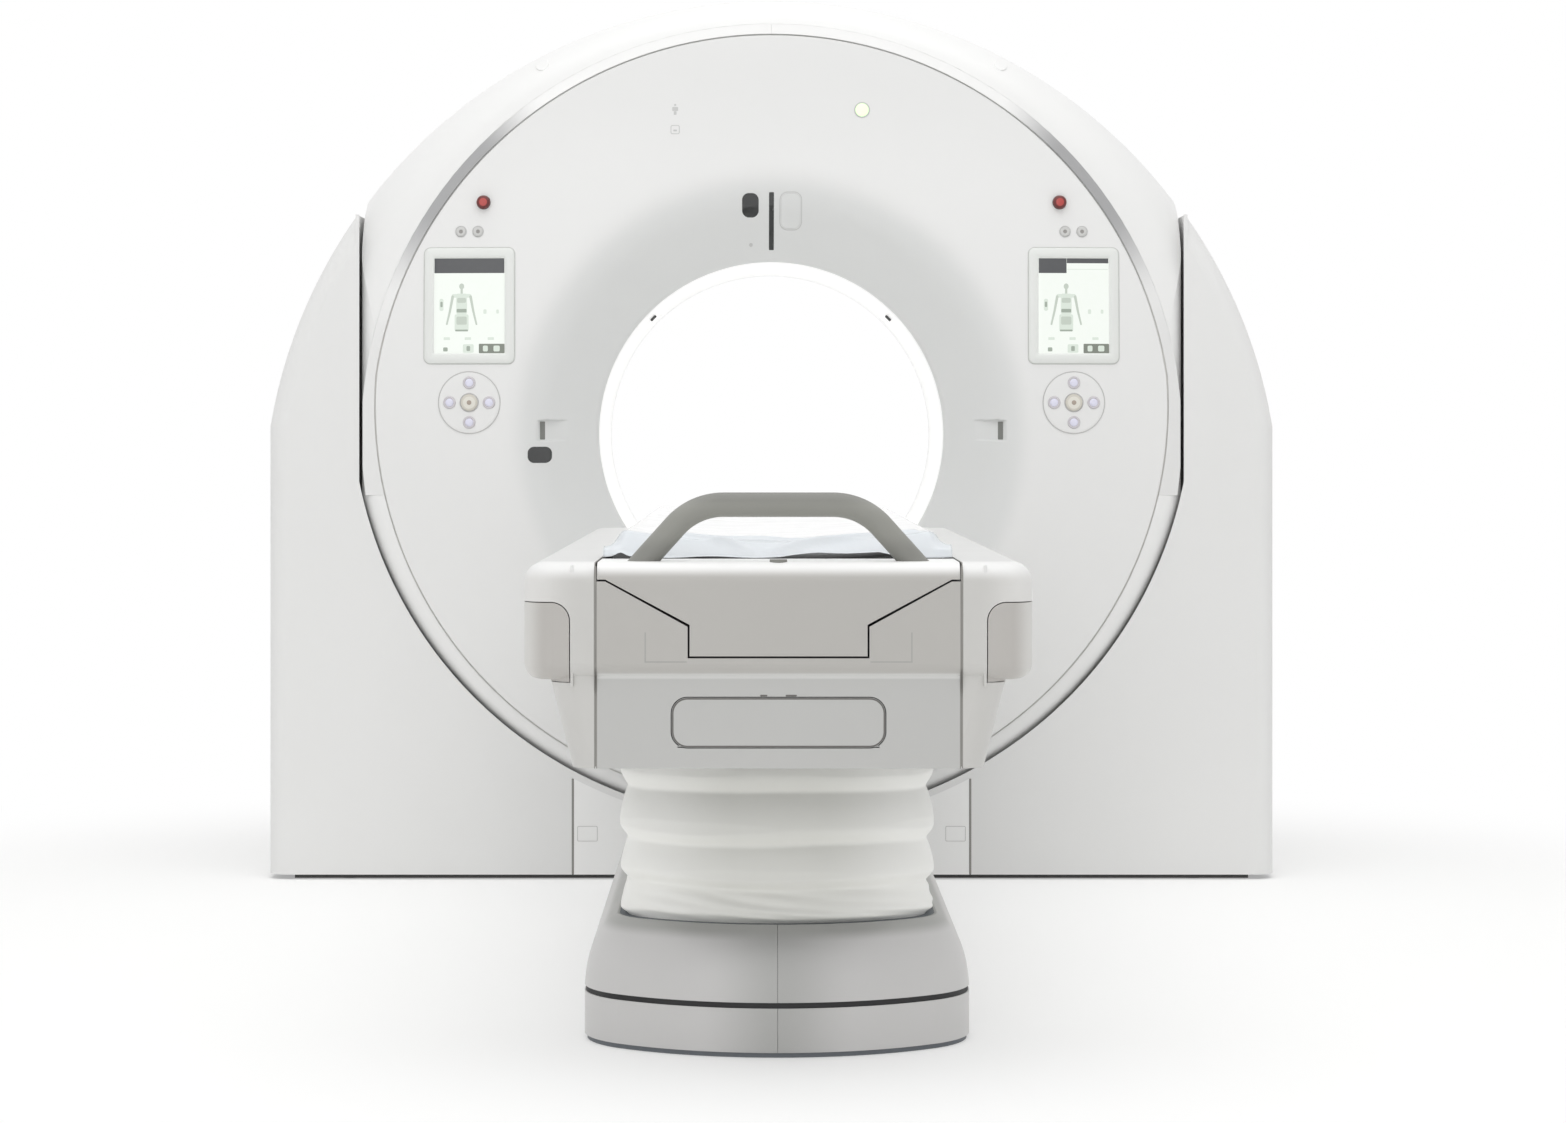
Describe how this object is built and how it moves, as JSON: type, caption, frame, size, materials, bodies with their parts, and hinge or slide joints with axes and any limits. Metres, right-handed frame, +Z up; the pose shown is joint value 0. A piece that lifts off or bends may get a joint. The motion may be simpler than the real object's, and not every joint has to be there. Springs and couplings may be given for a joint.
{
  "type": "ct scanner",
  "caption": "Tilting ring gantry in a floor stand, with a rotating x-ray system inside and a lifting patient couch whose tabletop slides into the bore.",
  "frame": {"origin": "on the floor, at the middle of the bounding box seen from above", "axes": "+Y from the couch's foot end into the bore, +Z up, +X to the right seen from the foot end"},
  "size_m": [2.24, 3.38, 1.978],
  "materials": {
    "gantry_white": "satin moulded cover, light grey-white",
    "dome_white": "satin white cover",
    "stand_white": "satin white cover",
    "silver_trim": "silver-grey paint",
    "liner": "smooth white liner",
    "window_film": "thin translucent film",
    "couch_white": "white cover",
    "couch_grey": "warm grey cover",
    "rail_grey": "light grey cover",
    "bellows_cream": "matt cream sheet",
    "base_silver": "silver-grey cover",
    "black_strip": "matt black",
    "frame_steel": "grey painted steel",
    "bright_steel": "ground steel",
    "column_alloy": "anodised",
    "tube_housing": "cast housing",
    "detector_black": "black housing",
    "generator_grey": "grey cabinet",
    "motor_grey": "dark grey",
    "screen": "dark bezel and screen",
    "keypad": "light grey disc",
    "key": "lilac-white",
    "button_white": "white",
    "stop_red": "red",
    "dark_window": "dark window",
    "lamp_green": "green lens",
    "carbon": "carbon-fibre laminate, sealed",
    "pad": "soft pad under a thin film",
    "handle_grey": "grey coated tube",
    "tray_dark": "dark",
    "duct_grey": "brushed"
  },
  "bodies": {
    "stand": {"stand_frame": "frame_steel", "left_stand_cover": "stand_white", "right_stand_cover": "stand_white", "front_plinth": "stand_white", "rear_plinth": "stand_white", "tilt_bearings": "bright_steel", "tilt_gearmotor": "motor_grey", "floor_duct": "duct_grey", "base_frame": "frame_steel", "left_base_skirt": "base_silver", "right_base_skirt": "base_silver", "left_base_cover": "base_silver", "right_base_cover": "base_silver", "bumper_strip": "black_strip", "lift_column_outer": "column_alloy", "lift_motor": "motor_grey", "bellows": "bellows_cream"},
    "gantry": {"gantry_frame": "frame_steel", "front_cover": "gantry_white", "rear_cover": "gantry_white", "dome_cover": "dome_white", "belly_cover": "gantry_white", "left_trim_ring": "silver_trim", "right_trim_ring": "silver_trim", "bore_liner": "liner", "scan_window": "window_film", "left_display": "screen", "right_display": "screen", "left_keypad": "keypad", "right_keypad": "keypad", "bore_windows": "dark_window", "status_lamp": "lamp_green"},
    "rotor": {"rotor_ring": "bright_steel", "xray_tube": "tube_housing", "detector_arc": "detector_black", "generator_units": "generator_grey"},
    "lower_stage": {"lift_stage_lower": "column_alloy"},
    "upper_stage": {"lift_stage_upper": "column_alloy"},
    "couch": {"couch_chassis": "column_alloy", "front_panel": "couch_grey", "left_side_cover": "couch_white", "right_side_cover": "couch_white", "left_rail_cover": "rail_grey", "right_rail_cover": "rail_grey", "connector_bay": "tray_dark"},
    "hatch": {"hatch": "couch_grey"},
    "table": {"tabletop": "carbon", "mattress": "pad", "table_carriage": "column_alloy", "table_end_cap": "couch_grey", "table_handle": "handle_grey"},
    "knob": {"release_knob": "button_white"},
    "left_centre_key": {"left_centre_key": "key"},
    "left_inner_button": {"left_inner_button": "button_white"},
    "left_outer_button": {"left_outer_button": "button_white"},
    "left_stop_button": {"left_stop_button": "stop_red"},
    "right_centre_key": {"right_centre_key": "key"},
    "right_inner_button": {"right_inner_button": "button_white"},
    "right_outer_button": {"right_outer_button": "button_white"},
    "right_stop_button": {"right_stop_button": "stop_red"}
  },
  "joints": [
    {"name": "gantry_tilt", "type": "hinge", "parent": "stand", "child": "gantry", "pos_m": [0, 1.2, 0.99], "axis": [-1, 0, 0], "range_deg": [-22, 22]},
    {"name": "rotor_spin", "type": "hinge", "parent": "gantry", "child": "rotor", "pos_m": [0, 1.2, 0.99], "axis": [0, 1, 0], "continuous": true},
    {"name": "couch_lift", "type": "slide", "parent": "stand", "child": "couch", "axis": [0, 0, 1], "range_m": [-0.34, 0.18], "deforming": ["bellows"]},
    {"name": "lower_stage_lift", "type": "slide", "parent": "stand", "child": "lower_stage", "axis": [0, 0, 1], "range_m": [-0.1135, 0.0602]},
    {"name": "upper_stage_lift", "type": "slide", "parent": "stand", "child": "upper_stage", "axis": [0, 0, 1], "range_m": [-0.227, 0.1202]},
    {"name": "table_slide", "type": "slide", "parent": "couch", "child": "table", "axis": [0, 1, 0], "range_m": [0, 1.8]},
    {"name": "hatch_hinge", "type": "hinge", "parent": "couch", "child": "hatch", "pos_m": [0, -1.68, 0.51], "axis": [1, 0, 0], "range_deg": [0, 90]},
    {"name": "knob_press", "type": "slide", "parent": "table", "child": "knob", "axis": [0, 0, -1], "range_m": [0, 0.003], "stiffness_N_per_m": 600},
    {"name": "left_centre_key_press", "type": "slide", "parent": "gantry", "child": "left_centre_key", "axis": [0, 1, 0], "range_m": [0, 0.002], "stiffness_N_per_m": 800},
    {"name": "left_inner_button_press", "type": "slide", "parent": "gantry", "child": "left_inner_button", "axis": [0, 1, 0], "range_m": [0, 0.0025], "stiffness_N_per_m": 800},
    {"name": "left_outer_button_press", "type": "slide", "parent": "gantry", "child": "left_outer_button", "axis": [0, 1, 0], "range_m": [0, 0.0025], "stiffness_N_per_m": 800},
    {"name": "left_stop_button_press", "type": "slide", "parent": "gantry", "child": "left_stop_button", "axis": [0, 1, 0], "range_m": [0, 0.004]},
    {"name": "right_centre_key_press", "type": "slide", "parent": "gantry", "child": "right_centre_key", "axis": [0, 1, 0], "range_m": [0, 0.002], "stiffness_N_per_m": 800},
    {"name": "right_inner_button_press", "type": "slide", "parent": "gantry", "child": "right_inner_button", "axis": [0, 1, 0], "range_m": [0, 0.0025], "stiffness_N_per_m": 800},
    {"name": "right_outer_button_press", "type": "slide", "parent": "gantry", "child": "right_outer_button", "axis": [0, 1, 0], "range_m": [0, 0.0025], "stiffness_N_per_m": 800},
    {"name": "right_stop_button_press", "type": "slide", "parent": "gantry", "child": "right_stop_button", "axis": [0, 1, 0], "range_m": [0, 0.004]}
  ],
  "couplings": [
    {"joint": "lower_stage_lift", "follows": "couch_lift", "ratio": 0.33333},
    {"joint": "upper_stage_lift", "follows": "couch_lift", "ratio": 0.66667}
  ]
}
